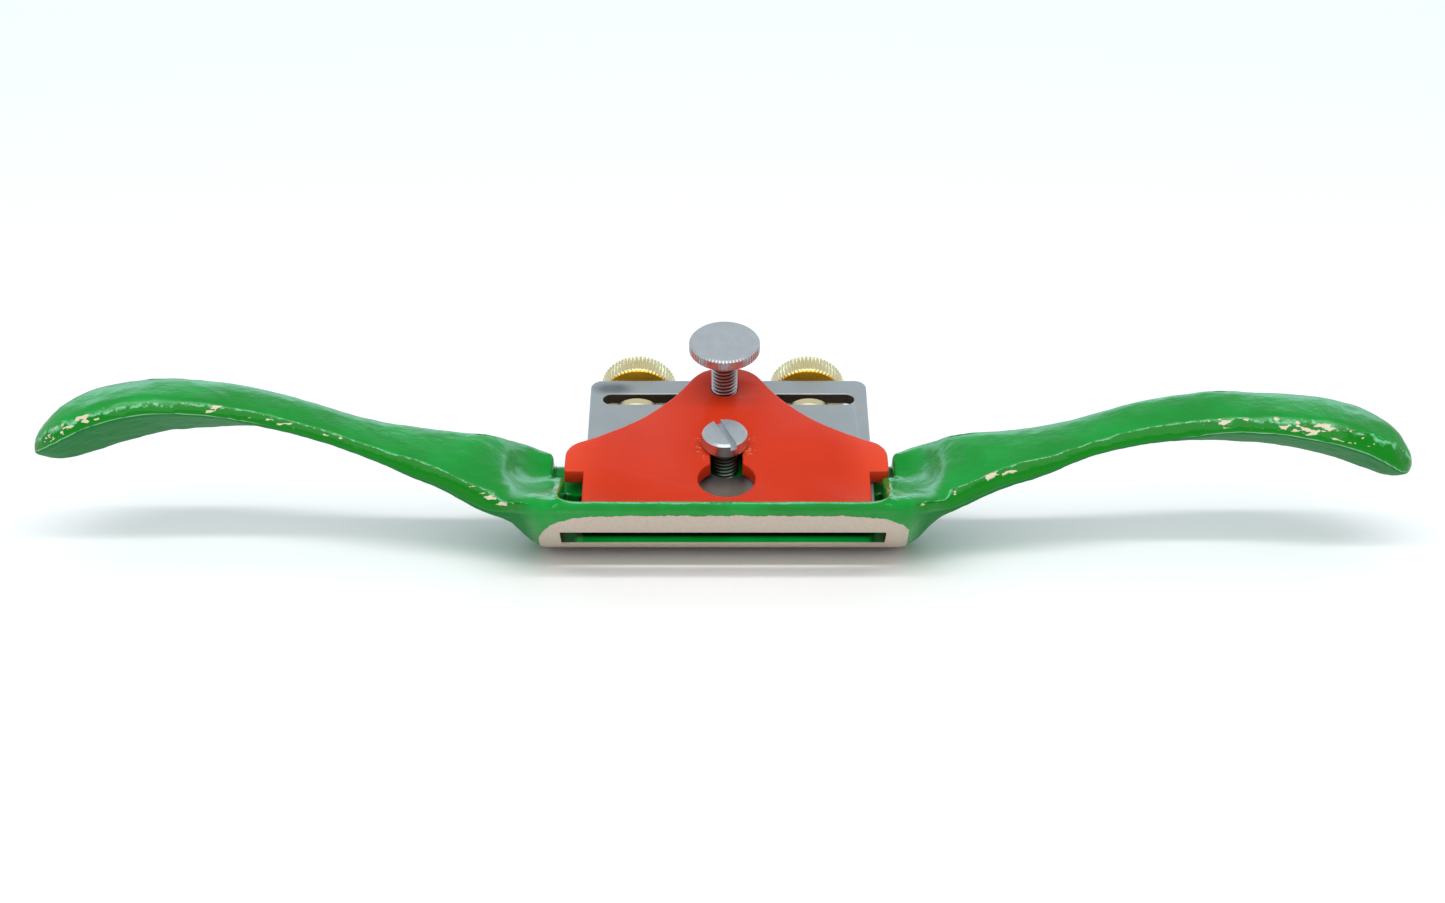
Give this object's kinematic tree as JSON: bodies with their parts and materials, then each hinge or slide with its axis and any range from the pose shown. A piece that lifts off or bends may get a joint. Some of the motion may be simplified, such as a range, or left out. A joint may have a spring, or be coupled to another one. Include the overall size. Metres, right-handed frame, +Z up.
{
  "type": "spokeshave",
  "caption": "Round-bottomed spokeshave with gull-wing handles, screw-adjusted cutter and keyhole lever cap.",
  "frame": {"origin": "on the table under the middle of the mouth's width, on the line where the round sole touches it at rest", "axes": "+X along the handles towards the right-hand one, +Y from toe to heel, +Z up from the table"},
  "size_m": [0.254, 0.0636, 0.0362],
  "materials": {
    "green_enamel": "glossy brushed-on enamel over cast iron, the sole ground bare",
    "tool_steel": "ground, blue-grey",
    "red_enamel": "smooth satin paint",
    "zinc_plate": "turned and zinc plated",
    "turned_brass": "turned, knurled"
  },
  "bodies": {
    "body": {"body_casting": "green_enamel", "stud_left": "zinc_plate", "stud_right": "zinc_plate"},
    "blade": {"blade": "tool_steel"},
    "lever_cap": {"lever_cap": "red_enamel"},
    "cap_screw": {"cap_screw": "zinc_plate"},
    "thumb_screw": {"thumb_screw": "zinc_plate"},
    "nut_left": {"nut_left": "turned_brass"},
    "nut_right": {"nut_right": "turned_brass"}
  },
  "joints": [
    {"name": "blade_slide", "type": "slide", "parent": "body", "child": "blade", "axis": [0, 0.9445, 0.3286], "range_m": [-0.0026, 0.0016]},
    {"name": "nut_left_turn", "type": "hinge", "parent": "blade", "child": "nut_left", "pos_m": [-0.0168, 0.02238, 0.01482], "axis": [0, 0.9445, 0.3286], "range_deg": [-1170, 720]},
    {"name": "nut_right_turn", "type": "hinge", "parent": "blade", "child": "nut_right", "pos_m": [0.0168, 0.02238, 0.01482], "axis": [0, 0.9445, 0.3286], "range_deg": [-1170, 720]},
    {"name": "lever_cap_slide", "type": "slide", "parent": "body", "child": "lever_cap", "axis": [0, 0.9445, 0.3286], "range_m": [0, 0.0102]},
    {"name": "thumb_screw_turn", "type": "hinge", "parent": "lever_cap", "child": "thumb_screw", "pos_m": [0.0003, 0.01926, 0.02347], "axis": [0, -0.3286, 0.9445], "range_deg": [0, 1080]},
    {"name": "cap_screw_turn", "type": "hinge", "parent": "body", "child": "cap_screw", "pos_m": [0.00035, 0.00236, 0.01759], "axis": [0, -0.3286, 0.9445], "range_deg": [0, 1080]}
  ],
  "couplings": [
    {"joint": "nut_left_turn", "follows": "blade_slide", "rad_per_m": 7854},
    {"joint": "nut_right_turn", "follows": "blade_slide", "rad_per_m": 7854}
  ]
}
